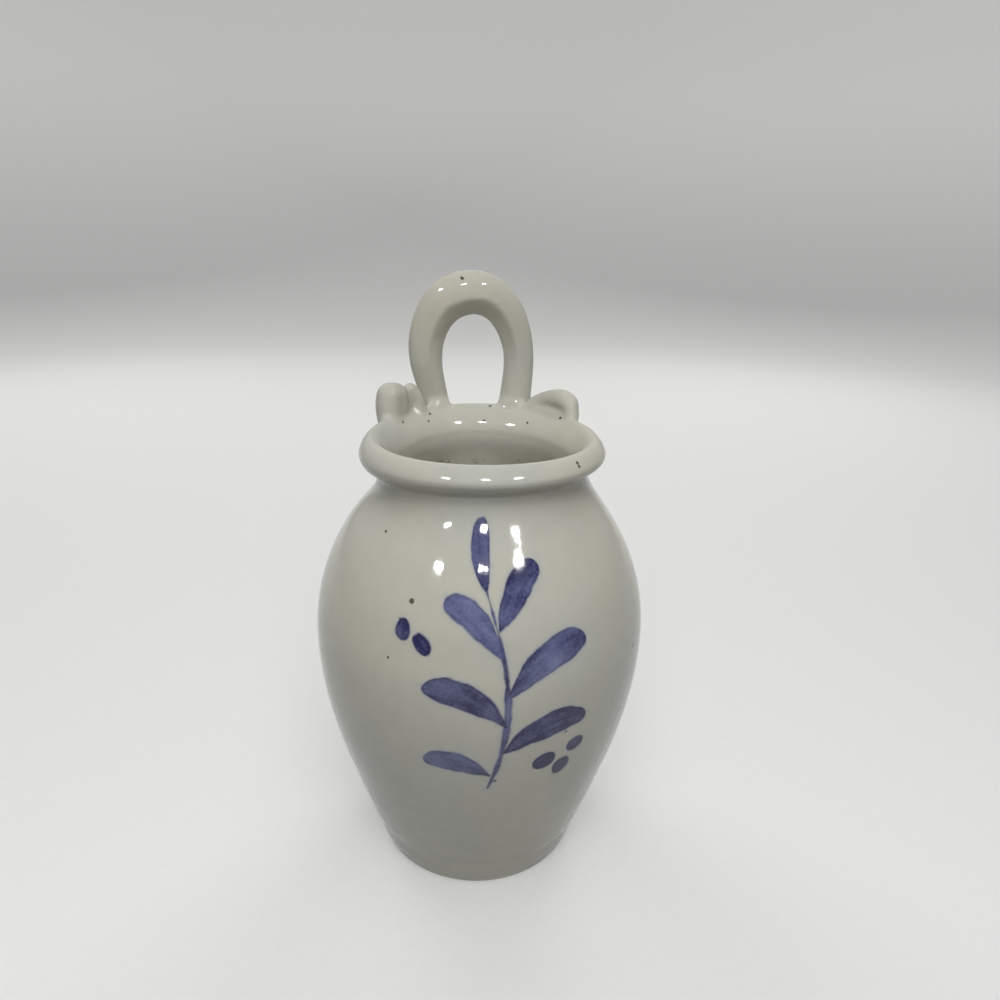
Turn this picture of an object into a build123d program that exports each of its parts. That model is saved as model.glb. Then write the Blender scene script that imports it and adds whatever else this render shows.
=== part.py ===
from build123d import *
import os
from math import asin, cos, radians, sin, tan

# Hanging wall vase: a wheel-thrown jar pressed flat at the back, with a rolled rim and a loop to hang it by.
# The frame has +Z up and +Y towards the wall that the vase hangs on. The origin is the middle of the foot,
# on the axis that the jar was thrown about. All sizes are in millimetres.

# Jar, from the foot to the neck, all outside sizes
FOOT_R = 34.0
FOOT_BEVEL = 1.6
BELLY_R = 54.0
BELLY_Z = 82.0
NECK_Z = 137.2
WALL_T = 5.0
FLOOR_T = 6.0
FLARE_DEG = 17.0
FLARE_RUN = 26.0
BELLY_RUN_BELOW = 30.0
BELLY_RUN_ABOVE = 32.0
NECK_RUN = 10.0

# Soft coil pressed into the corner between wall and floor
SEAM_COIL_R = 3.0
SEAM_COIL_SINK = 1.4

# Rolled rim, luted to the top edge of the neck, with a lip that droops: it is widest well below its crest
RIM_R = 38.0
RIM_H = 10.2
RIM_OVERHANG = 5.0
LIP_RUN = 3.4
LIP_DROP = 5.2
CREST_INNER_RUN = 2.6
FUNNEL_RUN = 3.4
THROAT_H = 2.8

# Flat back, which stands this far behind the rim
BACK_BEHIND_RIM = 1.5
BACK_EDGE_R = 6.0

# Loop to hang the vase by, how far its feet are set in and sunk, and how deep its back is pressed flat
COIL_D = 12.0
LOOP_W = 43.0
LOOP_H = 46.0
CROWN_H = 23.0
LEFT_TOE_IN = 3.0
RIGHT_TOE_IN = 0.8
LOOP_SINK = 3.2
LOOP_BACK_FLAT = 2.0

# Curls on the rim, each starting this far along it from the middle of the loop's foot
CURL_D = 5.2
CURL_TURN_R = 2.8
CURL_SINK = 0.9
CURL_START = 6.4
LEFT_CURL_RUN = 15.4
RIGHT_CURL_RUN = 13.0
CURL_RETURN = 5.5

# Soft clay wads pressed in front of the loop's feet, with their middles this far above the rim
WAD_R = 1.7
WAD_L = 9.0
WAD_RISE = 0.5

# How long a curve's handles are, as a share of its run, to make it round
ROUND = 0.5523

# Values that follow from the sizes above
NECK_R = RIM_R - RIM_OVERHANG
CREST_R = RIM_R - LIP_RUN
CREST_Z = NECK_Z + RIM_H
WIDEST_Z = CREST_Z - LIP_DROP
BACK_Y = RIM_R + BACK_BEHIND_RIM
COIL_R = COIL_D / 2
LOOP_Y = BACK_Y - COIL_R + LOOP_BACK_FLAT
LOOP_HALF = (LOOP_W - COIL_D) / 2
LOOP_TOP_Z = CREST_Z + LOOP_H
REACH = 4 * (BELLY_R + LOOP_TOP_Z)


def in_front_of(y):
    """A block that holds everything in front of the plane at y."""
    return Pos(0, y - REACH / 2, 0) * Box(REACH, REACH, REACH)


def below(z):
    """A block that holds everything under the height z."""
    return Pos(0, 0, z - REACH / 2) * Box(REACH, REACH, REACH)


def turned(*edges):
    """The solid that a closed outline of edges in the XZ plane sweeps round the jar's axis."""
    return revolve(make_face(Wire(edges)), Axis.Z)


def jar_side(inset):
    """The jar's side line from the foot to the neck, moved in towards the axis by inset."""
    foot_r, belly_r, neck_r = (r - inset for r in (FOOT_R, BELLY_R, NECK_R))
    flare = foot_r + FLARE_RUN * tan(radians(FLARE_DEG))
    lower = Bezier(
        (foot_r, 0, 0),
        (flare, 0, FLARE_RUN),
        (belly_r, 0, BELLY_Z - BELLY_RUN_BELOW),
        (belly_r, 0, BELLY_Z),
    )
    upper = Bezier(
        (belly_r, 0, BELLY_Z),
        (belly_r, 0, BELLY_Z + BELLY_RUN_ABOVE),
        (neck_r, 0, NECK_Z - NECK_RUN),
        (neck_r, 0, NECK_Z),
    )
    return lower, upper


def jar_core(inset):
    """A solid of the jar's whole inside, out to its side line moved in by inset, pressed flat at the back."""
    lower, upper = jar_side(inset)
    top = Line(upper @ 1, (0, 0, NECK_Z))
    axis = Line((0, 0, NECK_Z), (0, 0, 0))
    bottom = Line((0, 0, 0), lower @ 0)
    return turned(lower, upper, top, axis, bottom) & in_front_of(BACK_Y - inset)


def jar_outside():
    """The jar's outer form as one block, with soft edges round its flat back and a bevel at its foot."""
    block = jar_core(0)
    back = block.faces().sort_by(Axis.Y)[-1]
    block = fillet(back.edges(), BACK_EDGE_R)
    foot = block.faces().sort_by(Axis.Z)[0]
    return chamfer(foot.edges(), FOOT_BEVEL)


def vessel_wall(outside):
    """The thrown wall: open at the neck, and standing on the floor slab."""
    return outside - jar_core(WALL_T) - below(FLOOR_T)


def floor_slab(outside):
    """The slab that closes the jar and that it stands on."""
    return outside & below(FLOOR_T)


def floor_seam_coil(wall):
    """The coil of soft clay that makes the corner between wall and floor watertight."""
    ring_r = FOOT_R + FLOOR_T * tan(radians(FLARE_DEG)) - WALL_T - SEAM_COIL_R + SEAM_COIL_SINK
    ring = Pos(0, 0, FLOOR_T + SEAM_COIL_R - SEAM_COIL_SINK) * Torus(ring_r, SEAM_COIL_R)
    inside = jar_core(WALL_T) - below(FLOOR_T)
    return (ring & inside) - wall


def rim_roll():
    """The rolled rim: a drooping lip outside, the funnel of the mouth inside, and the throat below it."""
    out, up = Vector(1, 0, 0), Vector(0, 0, 1)
    throat = Vector(NECK_R - WALL_T, 0, NECK_Z)
    neck = Vector(NECK_R, 0, NECK_Z)
    widest = Vector(RIM_R, 0, WIDEST_Z)
    crest = Vector(CREST_R, 0, CREST_Z)
    ridge = throat + up * THROAT_H
    under_run = out * ROUND * RIM_OVERHANG
    side_run = up * ROUND * (WIDEST_Z - NECK_Z)
    return turned(
        Line(throat, neck),
        Bezier(neck, neck + under_run, widest - side_run, widest),
        Bezier(widest, widest + up * ROUND * LIP_DROP, crest + out * ROUND * LIP_RUN, crest),
        Bezier(crest, crest - out * CREST_INNER_RUN, ridge + up * FUNNEL_RUN, ridge),
        Line(ridge, throat),
    )


def foot_x(side):
    """Where a foot of the loop stands: side is -1 on the left and 1 on the right."""
    return side * (LOOP_HALF - (LEFT_TOE_IN if side < 0 else RIGHT_TOE_IN))


def hanger_loop(rim):
    """The pulled coil, bent to a tall loop, with its rounded ends pressed on to the back of the rim."""
    top = Vector(0, LOOP_Y, LOOP_TOP_Z - COIL_R)
    ends = [Vector(foot_x(side), LOOP_Y, CREST_Z - LOOP_SINK) for side in (-1, 1)]
    bends = [top + Vector(side * LOOP_HALF, 0, -CROWN_H) for side in (-1, 1)]
    up, across = Vector(0, 0, ROUND * CROWN_H), Vector(ROUND * LOOP_HALF, 0, 0)
    path = Wire([
        TangentArc(bends[0], ends[0], tangent=(0, 0, -1)),
        Bezier(bends[0], bends[0] + up, top - across, top),
        Bezier(top, top + across, bends[1] + up, bends[1]),
        TangentArc(bends[1], ends[1], tangent=(0, 0, -1)),
    ])
    section = Plane(top, z_dir=across) * Circle(COIL_R)
    coil = sweep(section, path=path)
    for end in ends:
        coil += Pos(*end) * Sphere(COIL_R)
    return (coil & in_front_of(BACK_Y)) - rim


def curl(side, rim, loop):
    """One curl: a thin coil that runs out along the rim from the loop, turns up and rolls back over itself."""
    run = LEFT_CURL_RUN if side < 0 else RIGHT_CURL_RUN
    lean = asin(abs(foot_x(side)) / CREST_R) + (CURL_START + run / 2) / CREST_R
    out = Vector(side * cos(lean), -sin(lean), 0)
    middle = Vector(side * CREST_R * sin(lean), CREST_R * cos(lean), CREST_Z)
    low = CURL_D / 2 - CURL_SINK
    high = low + 2 * CURL_TURN_R

    def place(along, height):
        return middle + out * along + Vector(0, 0, height)

    start, turn = place(-run / 2, low), place(run / 2, low)
    over, tip = place(run / 2, high), place(run / 2 - CURL_RETURN, high)
    outermost = place(run / 2 + CURL_TURN_R, low + CURL_TURN_R)
    path = Wire([Line(start, turn), ThreePointArc(turn, outermost, over), Line(over, tip)])
    coil = sweep(Plane(start, z_dir=out) * Circle(CURL_D / 2), path=path)
    for end in (start, tip):
        coil += Pos(*end) * Sphere(CURL_D / 2)
    return coil - rim - loop


def joint_wad(side, rim, loop, curls):
    """A short roll of soft clay, pressed into the corner between the rim and the front of one foot."""
    half = WAD_L / 2 - WAD_R
    middle = Pos(foot_x(side), LOOP_Y - COIL_R, CREST_Z + WAD_RISE)
    wad = middle * Rot(0, 90, 0) * Cylinder(WAD_R, 2 * half)
    for end in (-half, half):
        wad += middle * Pos(end, 0, 0) * Sphere(WAD_R)
    for neighbour in (rim, loop, *curls):
        wad = wad - neighbour
    return wad


def build():
    """Every piece of the vase by its name."""
    outside = jar_outside()
    wall = vessel_wall(outside)
    rim = rim_roll()
    loop = hanger_loop(rim)
    left_curl, right_curl = curl(-1, rim, loop), curl(1, rim, loop)
    curls = (left_curl, right_curl)
    return {
        "vessel_wall": wall,
        "floor_slab": floor_slab(outside),
        "floor_seam_coil": floor_seam_coil(wall),
        "rim_roll": rim,
        "hanger_loop": loop,
        "left_curl": left_curl,
        "right_curl": right_curl,
        "left_joint_wad": joint_wad(-1, rim, loop, curls),
        "right_joint_wad": joint_wad(1, rim, loop, curls),
    }


os.makedirs("parts", exist_ok=True)
for name, piece in build().items():
    export_step(piece, f"parts/{name}.step")
    print(name, len(piece.solids()), "solids", round(piece.volume), "mm3")
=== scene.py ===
import math

import bmesh
import bpy
import numpy as np
from mathutils import Matrix, Vector


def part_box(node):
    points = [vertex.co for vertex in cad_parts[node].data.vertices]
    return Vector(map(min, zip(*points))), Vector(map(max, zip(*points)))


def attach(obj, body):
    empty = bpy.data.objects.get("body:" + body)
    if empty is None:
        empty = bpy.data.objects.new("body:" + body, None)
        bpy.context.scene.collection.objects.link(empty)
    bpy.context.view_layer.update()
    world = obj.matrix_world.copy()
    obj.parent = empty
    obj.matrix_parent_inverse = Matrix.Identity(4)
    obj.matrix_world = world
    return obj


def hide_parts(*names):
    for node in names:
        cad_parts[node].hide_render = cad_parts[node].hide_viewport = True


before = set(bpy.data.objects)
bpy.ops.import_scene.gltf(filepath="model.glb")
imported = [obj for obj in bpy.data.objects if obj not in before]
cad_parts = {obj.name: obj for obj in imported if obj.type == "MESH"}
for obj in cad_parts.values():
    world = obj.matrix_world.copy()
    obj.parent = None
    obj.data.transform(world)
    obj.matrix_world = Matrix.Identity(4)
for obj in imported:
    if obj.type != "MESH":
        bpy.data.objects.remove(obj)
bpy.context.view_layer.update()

# Sizes read from the frame, in metres
MM = 0.001
wall_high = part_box("vessel_wall")[1]
slab_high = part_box("floor_slab")[1]
rim_low, rim_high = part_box("rim_roll")
BELLY_R = wall_high[0]
BACK_Y = wall_high[1]
FLOOR_TOP = slab_high[2]
NECK_Z = rim_low[2]
RIM_R = rim_high[0]
CREST_Z = rim_high[2]

# The jar's own sizes, as the solids have them
FOOT_R = 34.0 * MM
BELLY_Z = 82.0 * MM
RIM_OVERHANG = 5.0 * MM
NECK_R = RIM_R - RIM_OVERHANG
WALL_T = 5.0 * MM
FLARE_DEG = 17.0
FLARE_TAN = math.tan(math.radians(FLARE_DEG))
FLARE_RUN = 26.0 * MM
BELLY_RUN_BELOW = 30.0 * MM
BELLY_RUN_ABOVE = 32.0 * MM
NECK_RUN = 10.0 * MM
BACK_SOFT = 6.2 * MM
CREST_SET_IN = 3.4 * MM
CREST_R = RIM_R - CREST_SET_IN

# The rim's outline: how far its lip stands out and hangs down, and the reach of its curves at each corner
LIP_PROUD = 0.4 * MM
LIP_DROP = 4.4 * MM
LIP_UNDER = (0.0, 3.0 * MM)
LIP_OVER = 1.1 * MM
COVE_RUN = 1.4 * MM
CREST_OUTER_RUN = 1.5 * MM
CREST_INNER_RUN = 2.6 * MM
FUNNEL_RUN = 3.0 * MM
THROAT_H = 1.7 * MM

# Marks of handwork: the bands that fingers leave on the wheel, a slight unevenness all over, a rim that isn't
# quite level, and a lip that hangs lower at the sides and most of all on the left
RING_PITCH = 8.2 * MM
RING_DEPTH = 0.13 * MM
RING_FADE_Z = 26.0 * MM
RING_SWAY = 0.9
RING_SWAY_TWIST = 90.0
INNER_RING_DEPTH = 0.35 * MM
INNER_RING_BELOW_NECK = (12.0 * MM, 30.0 * MM)
UNEVEN = 0.006
UNEVEN_MIDDLE = 0.5
UNEVEN_FULL_Z = 40.0 * MM
RIM_TILT_X = 0.004
RIM_TILT_Y = 0.014
RIM_SIDE_DROP = 1.0 * MM
LIP_SAG = 2.4 * MM
LIP_SAG_POWER = 3

# Waves of unevenness round the jar, as (strength, waves in a turn, twist per metre of height, phase)
UNEVEN_WAVES = [(0.28, 2, 46.0, 0.4), (0.22, 3, -71.0, 1.9)]

# Heights between which the rim's tilt and the lip's sag come in, and those between which they go out
TILT_IN = (105.0 * MM, CREST_Z)
TILT_OUT = (CREST_Z + 10.0 * MM, CREST_Z + 40.0 * MM)
SAG_IN = (118.0 * MM, 134.0 * MM)
SAG_OUT = (NECK_Z, CREST_Z - 1.0 * MM)

# Single grooves round the lower wall, as (height, depth, half width) in millimetres
GROOVES = [(35.7, 0.12, 3.6), (10.5, 0.22, 2.2)]

# The foot: its rounded heel, the step of the glaze above it, the rows of the heel that are bare, and the
# rings of its underside and of the floor inside, as shares of its radius
HEEL_Z = 3.2 * MM
HEEL_R = 2.2 * MM
HEEL_OUT = 0.35 * MM
GLAZE_STEP_UP = 0.5 * MM
GLAZE_STEP_IN = 0.12 * MM
BARE_HEEL_ROWS = 3
UNDERSIDE_RINGS = (0.86, 0.7, 0.45, 0.2, 0.02)
FLOOR_RINGS = (0.02, 0.2, 0.5, 0.8)

# The seam coil: how far it reaches, how hollow it is as two shares of that, and how far it goes into the wall
SEAM_REACH = 4.4 * MM
SEAM_NEAR = 0.05
SEAM_FAR = 0.35
SEAM_INTO_WALL = 0.2 * MM
SEAM_INTO_CORNER = 0.3 * MM

# How finely the turned and the modelled pieces are meshed
SEGMENTS = 224
OUTER_STEPS = 70
INNER_STEPS = 50
HEEL_STEPS = 12
SEAM_STEPS = 10
LIP_STEPS = 18
FUNNEL_STEPS = 22
FIRST_ROW = 0.2 * MM
CLAY_STEP = 0.55 * MM
CLAY_MARGIN = 3 * CLAY_STEP
PATH_STEPS = 6
RELAX_ROUNDS = 4
RELAX_SHARE = 0.5
WELD = 0.001 * MM
JOINT_DEG = 55.0


# Meshes

def add_piece(name, points, faces, node, materials, face_material=None):
    """A smooth mesh that stands for a node of the frame, with one or more materials."""
    mesh = bpy.data.meshes.new(name)
    mesh.from_pydata([tuple(p) for p in points], [], [tuple(int(i) for i in f) for f in faces])
    for material in materials:
        mesh.materials.append(material)
    if face_material is not None:
        mesh.polygons.foreach_set("material_index", np.asarray(face_material, dtype=np.int32))
    solid = bmesh.new()
    solid.from_mesh(mesh)
    bmesh.ops.remove_doubles(solid, verts=solid.verts, dist=WELD)
    bmesh.ops.recalc_face_normals(solid, faces=solid.faces)
    solid.to_mesh(mesh)
    solid.free()
    mesh.polygons.foreach_set("use_smooth", np.ones(len(mesh.polygons), dtype=bool))
    mesh.set_sharp_from_angle(angle=math.radians(JOINT_DEG))
    mesh.update()
    piece = bpy.data.objects.new(name, mesh)
    bpy.context.scene.collection.objects.link(piece)
    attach(piece, "root")
    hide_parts(node)
    return piece


def bezier(p0, p1, p2, p3, count):
    """Points along a cubic curve, both ends included."""
    t = np.linspace(0.0, 1.0, count)[:, None]
    p0, p1, p2, p3 = (np.array(p, dtype=float) for p in (p0, p1, p2, p3))
    return (1 - t) ** 3 * p0 + 3 * (1 - t) ** 2 * t * p1 + 3 * (1 - t) * t ** 2 * p2 + t ** 3 * p3


def arc(centre, radius, start_deg, end_deg, count):
    """Points of a circle in the plane of radius and height, both ends included."""
    angle = np.radians(np.linspace(start_deg, end_deg, count))
    return np.column_stack([centre[0] + radius * np.cos(angle), centre[1] + radius * np.sin(angle)])


def lathe(profile, segments=SEGMENTS):
    """Turns a closed outline of (radius, height) round the Z axis: points and quads."""
    count = len(profile)
    turn = np.linspace(0.0, 2 * math.pi, segments, endpoint=False)
    r, z = np.asarray(profile).T
    x = np.outer(np.sin(turn), r)
    y = -np.outer(np.cos(turn), r)
    points = np.stack([x, y, np.broadcast_to(z, x.shape)], axis=-1).reshape(-1, 3)
    k, i = np.meshgrid(np.arange(segments), np.arange(count), indexing="ij")
    k, i = k.ravel(), i.ravel()
    k_next, i_next = (k + 1) % segments, (i + 1) % count
    quads = np.column_stack([k * count + i, k_next * count + i, k_next * count + i_next, k * count + i_next])
    return points, quads


def soft_min(a, b, blend):
    """The smaller of two values, rounded where they meet."""
    near = np.maximum(blend - np.abs(a - b), 0.0) / blend
    return np.minimum(a, b) - near * near * blend / 4


def ease(value, start, end):
    """A smooth step from 0 to 1 between two values."""
    share = np.clip((value - start) / (end - start), 0, 1)
    return share * share * (3 - 2 * share)


def by_hand(points):
    """The unevenness of handwork: the same for every piece, and none at the foot or the top of the loop."""
    points = np.array(points, dtype=float)
    x, y, z = points.T
    turn = np.arctan2(x, -y)
    swell = UNEVEN_MIDDLE
    for strength, waves, twist, phase in UNEVEN_WAVES:
        swell = swell + strength * np.sin(waves * turn + twist * z + phase)
    shrink = 1 - UNEVEN * swell * np.clip(z / UNEVEN_FULL_Z, 0, 1)
    near_rim = ease(z, *TILT_IN) * (1 - ease(z, *TILT_OUT))
    left = np.clip(-np.sin(turn), 0, 1) ** LIP_SAG_POWER
    under_lip = ease(z, *SAG_IN) * (1 - ease(z, *SAG_OUT))
    level = RIM_TILT_X * x + RIM_TILT_Y * y - RIM_SIDE_DROP * np.sin(turn) ** 2
    lift = level * near_rim - LIP_SAG * left * under_lip
    points[:, 0] *= shrink
    points[:, 1] *= shrink
    points[:, 1] = np.minimum(points[:, 1], BACK_Y)
    points[:, 2] += lift
    return points


def jar_curve(inset, count):
    """The jar's side line, from the foot up to the neck, moved in by inset."""
    foot_r, belly_r, neck_r = FOOT_R - inset, BELLY_R - inset, NECK_R - inset
    lower = bezier(
        (foot_r, 0),
        (foot_r + FLARE_RUN * FLARE_TAN, FLARE_RUN),
        (belly_r, BELLY_Z - BELLY_RUN_BELOW),
        (belly_r, BELLY_Z),
        count,
    )
    upper = bezier(
        (belly_r, BELLY_Z),
        (belly_r, BELLY_Z + BELLY_RUN_ABOVE),
        (neck_r, NECK_Z - NECK_RUN),
        (neck_r, NECK_Z),
        count,
    )
    return np.vstack([lower[:-1], upper])


def jar_side(inset, count):
    """The part of the side line that the wall has, above the floor slab."""
    side = jar_curve(inset, count)
    start = np.array([np.interp(FLOOR_TOP, side[:, 1], side[:, 0]), FLOOR_TOP])
    return np.vstack([start, side[side[:, 1] > FLOOR_TOP + FIRST_ROW]])


def wall_mesh(outside, inside):
    """The thrown wall, with finger rings, pressed flat at the back."""
    outer, inner = jar_side(0, OUTER_STEPS), jar_side(WALL_T, INNER_STEPS)[::-1]
    profile = np.vstack([outer, inner])
    points, quads = lathe(profile)
    row = np.tile(np.arange(len(profile)), SEGMENTS)
    is_outer = row < len(outer)
    turn = np.arctan2(points[:, 0], -points[:, 1])
    z = points[:, 2]
    sway = RING_SWAY * np.sin(turn + RING_SWAY_TWIST * z)
    ring = 0.5 - 0.5 * np.cos(2 * math.pi * z / RING_PITCH + turn + sway)
    over_floor = z - FLOOR_TOP
    fade = np.exp(-(over_floor / RING_FADE_Z) ** 2) * np.clip(over_floor / RING_PITCH, 0, 1)
    inner_depth = INNER_RING_DEPTH * ease(NECK_Z - z, *INNER_RING_BELOW_NECK)
    depth = np.where(is_outer, RING_DEPTH * fade, -inner_depth)
    groove = sum(deep * MM * np.exp(-((z / MM - height) / half) ** 2) for height, deep, half in GROOVES)
    shrink = 1 - (ring * depth + np.where(is_outer, groove, 0)) / np.hypot(points[:, 0], points[:, 1])
    points[:, :2] *= shrink[:, None]
    points[:, 1] = soft_min(points[:, 1], np.where(is_outer, BACK_Y, BACK_Y - WALL_T), BACK_SOFT)
    face_material = np.where(is_outer, 0, 1)
    return add_piece(
        "glazed_wall", by_hand(points), quads, "vessel_wall", [outside, inside], face_material
    )


def foot_mesh(glaze, clay):
    """The floor slab: a glazed edge with a trimmed bevel, and a bare underside."""
    side = jar_curve(0, OUTER_STEPS)
    step_z = HEEL_Z + GLAZE_STEP_UP
    top_r, step_r, heel_r = np.interp([FLOOR_TOP, step_z, HEEL_Z], side[:, 1], side[:, 0])
    edge = [(top_r, FLOOR_TOP), (step_r, step_z), (heel_r - GLAZE_STEP_IN, HEEL_Z)]
    rounding = arc((FOOT_R - HEEL_R + HEEL_OUT, HEEL_R), HEEL_R, 0, -90, HEEL_STEPS)
    underside = [(share * FOOT_R, 0.0) for share in UNDERSIDE_RINGS]
    floor = [(share * FOOT_R, FLOOR_TOP) for share in FLOOR_RINGS]
    profile = np.vstack([edge, rounding, underside, floor])
    points, quads = lathe(profile)
    heel_end = len(edge) + len(rounding)
    row = np.tile(np.arange(len(profile)), SEGMENTS)
    is_bare = (row >= heel_end - BARE_HEEL_ROWS) & (row < heel_end + len(underside))
    face_material = np.where(is_bare, 1, 0)
    return add_piece(
        "glazed_foot", by_hand(points), quads, "floor_slab", [glaze, clay], face_material
    )


def seam_mesh(glaze):
    """The soft coil in the inner corner between wall and floor, smoothed to a hollow curve."""
    corner_r = FOOT_R - WALL_T + FLOOR_TOP * FLARE_TAN
    hollow = bezier(
        (corner_r - SEAM_REACH, FLOOR_TOP),
        (corner_r - SEAM_FAR * SEAM_REACH, FLOOR_TOP + SEAM_NEAR * SEAM_REACH),
        (corner_r + SEAM_NEAR * SEAM_REACH, FLOOR_TOP + SEAM_FAR * SEAM_REACH),
        (corner_r + SEAM_REACH * FLARE_TAN + SEAM_INTO_WALL, FLOOR_TOP + SEAM_REACH),
        SEAM_STEPS,
    )
    behind = [(corner_r + SEAM_INTO_CORNER, FLOOR_TOP)]
    points, quads = lathe(np.vstack([hollow, behind]))
    return add_piece("glazed_seam", by_hand(points), quads, "floor_seam_coil", [glaze])


def rim_outline():
    """The rim's closed outline: the drooping lip, the crest, the funnel of the mouth and the throat."""
    neck = np.array([NECK_R, NECK_Z])
    lip = np.array([RIM_R + LIP_PROUD, CREST_Z - LIP_DROP])
    crest = np.array([CREST_R, CREST_Z])
    throat = np.array([NECK_R - WALL_T, NECK_Z])
    ridge = throat + (0, THROAT_H)
    under = bezier(neck, neck + (0, COVE_RUN), lip - LIP_UNDER, lip, LIP_STEPS)
    over = bezier(lip, lip + (0, LIP_OVER), crest + (CREST_OUTER_RUN, 0), crest, LIP_STEPS)
    funnel = bezier(crest, crest - (CREST_INNER_RUN, 0), ridge + (0, FUNNEL_RUN), ridge, FUNNEL_STEPS)
    return np.vstack([under[:-1], over[:-1], funnel, throat])


def rim_mesh(glaze):
    """The rolled rim, with the funnel of the mouth inside it."""
    points, quads = lathe(rim_outline())
    return add_piece("glazed_rim", by_hand(points), quads, "rim_roll", [glaze])


# Clay that is modelled by hand: coils as distances to a path, blended into what they are pressed on

def smooth_path(stations):
    """A Catmull-Rom curve through stations of any width, such as (x, y, z, radius)."""
    p = np.asarray(stations, dtype=float)
    p = np.vstack([2 * p[0] - p[1], p, 2 * p[-1] - p[-2]])
    t = np.linspace(0, 1, PATH_STEPS, endpoint=False)[:, None]
    parts = []
    for a, b, c, d in zip(p[:-3], p[1:-2], p[2:-1], p[3:]):
        square = (2 * a - 5 * b + 4 * c - d) * t ** 2
        cube = (3 * b - a - 3 * c + d) * t ** 3
        parts.append(0.5 * (2 * b + (c - a) * t + square + cube))
    return np.vstack(parts + [p[-2:-1]])


def nearest_on_coil(points, path):
    """Distance from points to a coil along a path of (x, y, z, radius), and offsets from its middle."""
    best = np.full(len(points), np.inf)
    offset = np.zeros_like(points)
    for start, end in zip(path[:-1], path[1:]):
        way = end[:3] - start[:3]
        along = np.clip((points - start[:3]) @ way / (way @ way), 0, 1)
        aside = points - start[:3] - along[:, None] * way
        gap = np.linalg.norm(aside, axis=1) - start[3] - along * (end[3] - start[3])
        closer = gap < best
        best[closer] = gap[closer]
        offset[closer] = aside[closer]
    return best, offset


def coil_distance(points, path):
    """Distance from points to a coil along a path of (x, y, z, radius)."""
    return nearest_on_coil(points, path)[0]


def rim_distance(points):
    """Signed distance from points to the rim, from its outline in the plane of radius and height."""
    r, z = np.hypot(points[:, 0], points[:, 1]), points[:, 2]
    best = np.full(len(points), np.inf)
    inside = np.zeros(len(points), dtype=bool)
    outline = rim_outline()
    for (r0, z0), (r1, z1) in zip(outline, np.roll(outline, -1, axis=0)):
        dr, dz = r1 - r0, z1 - z0
        along = np.clip(((r - r0) * dr + (z - z0) * dz) / (dr * dr + dz * dz), 0, 1)
        best = np.minimum(best, (r - r0 - along * dr) ** 2 + (z - z0 - along * dz) ** 2)
        if dz:
            inside ^= ((z0 > z) != (z1 > z)) & (r < r0 + (z - z0) * dr / dz)
    return np.where(inside, -1, 1) * np.sqrt(best)


def surface_net(distance, low, high):
    """Points and quads over the surface where a distance is zero, on a grid between two corners."""
    axes = [np.arange(a, b + CLAY_STEP, CLAY_STEP) for a, b in zip(low, high)]
    grid = np.stack(np.meshgrid(*axes, indexing="ij"), axis=-1)
    value = distance(grid.reshape(-1, 3)).reshape(grid.shape[:3])
    cells = tuple(n - 1 for n in value.shape)
    total, hits, quads = np.zeros(cells + (3,)), np.zeros(cells), []
    for axis in range(3):
        u, v = (axis + 1) % 3, (axis + 2) % 3
        first = np.take(value, range(value.shape[axis] - 1), axis=axis)
        second = np.take(value, range(1, value.shape[axis]), axis=axis)
        edge = np.argwhere((first < 0) != (second < 0))
        before, after = first[tuple(edge.T)], second[tuple(edge.T)]
        cross = grid[tuple(edge.T)].copy()
        cross[:, axis] += CLAY_STEP * before / (before - after)
        ring = []
        for du, dv in ((0, 0), (1, 0), (1, 1), (0, 1)):
            cell = edge.copy()
            cell[:, u] -= du
            cell[:, v] -= dv
            np.add.at(total, tuple(cell.T), cross)
            np.add.at(hits, tuple(cell.T), 1)
            ring.append(np.ravel_multi_index(tuple(cell.T), cells))
        ring = np.column_stack(ring)
        ring[before >= 0] = ring[before >= 0][:, ::-1]
        quads.append(ring)
    used = np.flatnonzero(hits.ravel())
    points = total.reshape(-1, 3)[used] / hits.ravel()[used][:, None]
    number = np.full(hits.size, -1)
    number[used] = np.arange(len(used))
    return points, number[np.vstack(quads)]


def relax(points, quads):
    """Evens out a mesh, as glaze does, by moving each point towards the middle of its neighbours."""
    pairs = np.vstack([quads[:, [a, b]] for a, b in ((0, 1), (1, 2), (2, 3), (3, 0))])
    pairs = np.vstack([pairs, pairs[:, ::-1]])
    count = np.bincount(pairs[:, 0], minlength=len(points))[:, None]
    for _ in range(RELAX_ROUNDS):
        near = np.zeros_like(points)
        np.add.at(near, pairs[:, 0], points[pairs[:, 1]])
        points = points + RELAX_SHARE * (near / count - points)
    return points


# The loop's middle line from the left foot to the right, as (x, height over the rim, radius) in millimetres
LOOP_STATIONS = [
    (-12.6, -2.0, 4.8), (-13.4, 3.5, 4.7), (-15.4, 10.0, 5.2), (-16.5, 17.0, 5.85), (-15.7, 25.0, 6.2),
    (-11.9, 33.1, 6.9), (-6.6, 37.2, 7.4), (-0.6, 38.7, 7.4), (5.5, 37.2, 6.9), (11.0, 32.6, 6.3),
    (14.7, 24.8, 5.6), (16.2, 17.0, 5.25), (16.1, 10.5, 5.3), (15.4, 4.0, 5.5), (14.9, -2.0, 5.7),
]
LOOP_DEPTH = 0.78
LOOP_MIDDLE_H = 20.0 * MM
LOOP_EVEN_ROUNDS = 16

# The long faces that pulling leaves on the loop, as (degrees from its front towards its outside, depth in mm)
LOOP_FACES = [(24.0, 0.6), (-48.0, 1.0)]
LOOP_FACE_DEG = 36.0

# How strong those faces are at the loop's feet, and the heights about its middle over which they come in
LOOP_FACE_AT_FEET = 0.2
LOOP_FACE_IN = (-14.0 * MM, 6.0 * MM)

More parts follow.
